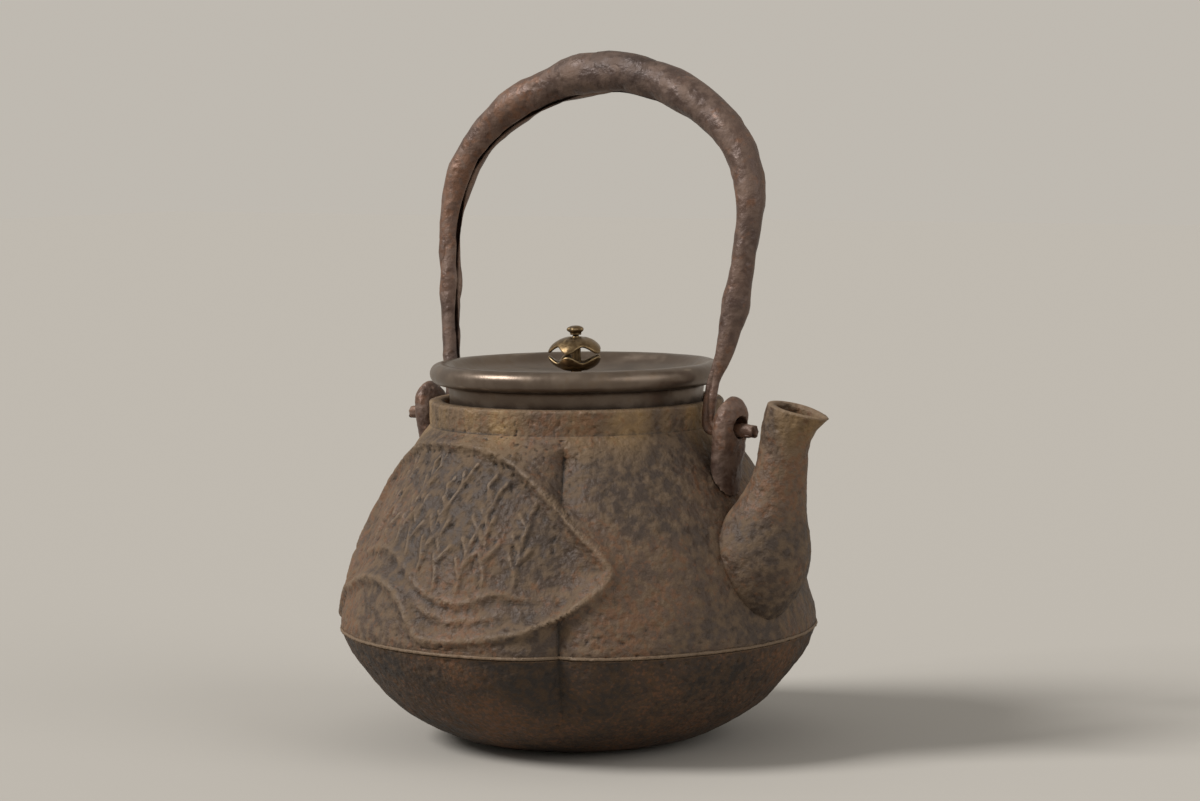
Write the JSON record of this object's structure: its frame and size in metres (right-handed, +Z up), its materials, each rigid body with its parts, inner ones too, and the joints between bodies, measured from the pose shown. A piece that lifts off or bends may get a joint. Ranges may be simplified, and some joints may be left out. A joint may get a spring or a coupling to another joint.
{
  "type": "tetsubin kettle",
  "caption": "Lobed cast-iron kettle with a beaked spout, a hollow swinging bail on pierced ears and a lift-off bronze lid with an openwork turning knob.",
  "frame": {"origin": "centre of the flat resting face under the bowl", "axes": "+Z up through the mouth, +X towards the spout; the bail turns about a line along X"},
  "size_m": [0.164, 0.1473, 0.2111],
  "materials": {
    "body_iron": "rough rusted casting",
    "fitting_iron": "worn forged skin",
    "lid_bronze": "dark patina, satin",
    "knob_brass": "aged brass, satin"
  },
  "bodies": {
    "vessel": {"body_shell": "body_iron", "bottom_bowl": "body_iron", "spout": "body_iron", "ear_front": "fitting_iron", "ear_rear": "fitting_iron"},
    "handle": {"bail": "fitting_iron"},
    "lid": {"lid_plate": "lid_bronze", "under_lid_washer": "knob_brass", "knob_seat_washer": "knob_brass"},
    "knob": {"knob_lower_petals": "knob_brass", "knob_upper_petals": "knob_brass", "knob_finial": "knob_brass", "knob_pin": "knob_brass"}
  },
  "joints": [
    {"name": "handle_swing", "type": "hinge", "parent": "vessel", "child": "handle", "pos_m": [0, 0, 0.09695], "axis": [1, 0, 0], "range_deg": [-75, 95]},
    {"name": "lid_lift", "type": "slide", "parent": "vessel", "child": "lid", "axis": [0, 0, 1], "range_m": [0, 0.03]},
    {"name": "knob_spin", "type": "hinge", "parent": "lid", "child": "knob", "pos_m": [0, 0, 0.1174], "axis": [0, 0, 1], "continuous": true}
  ]
}
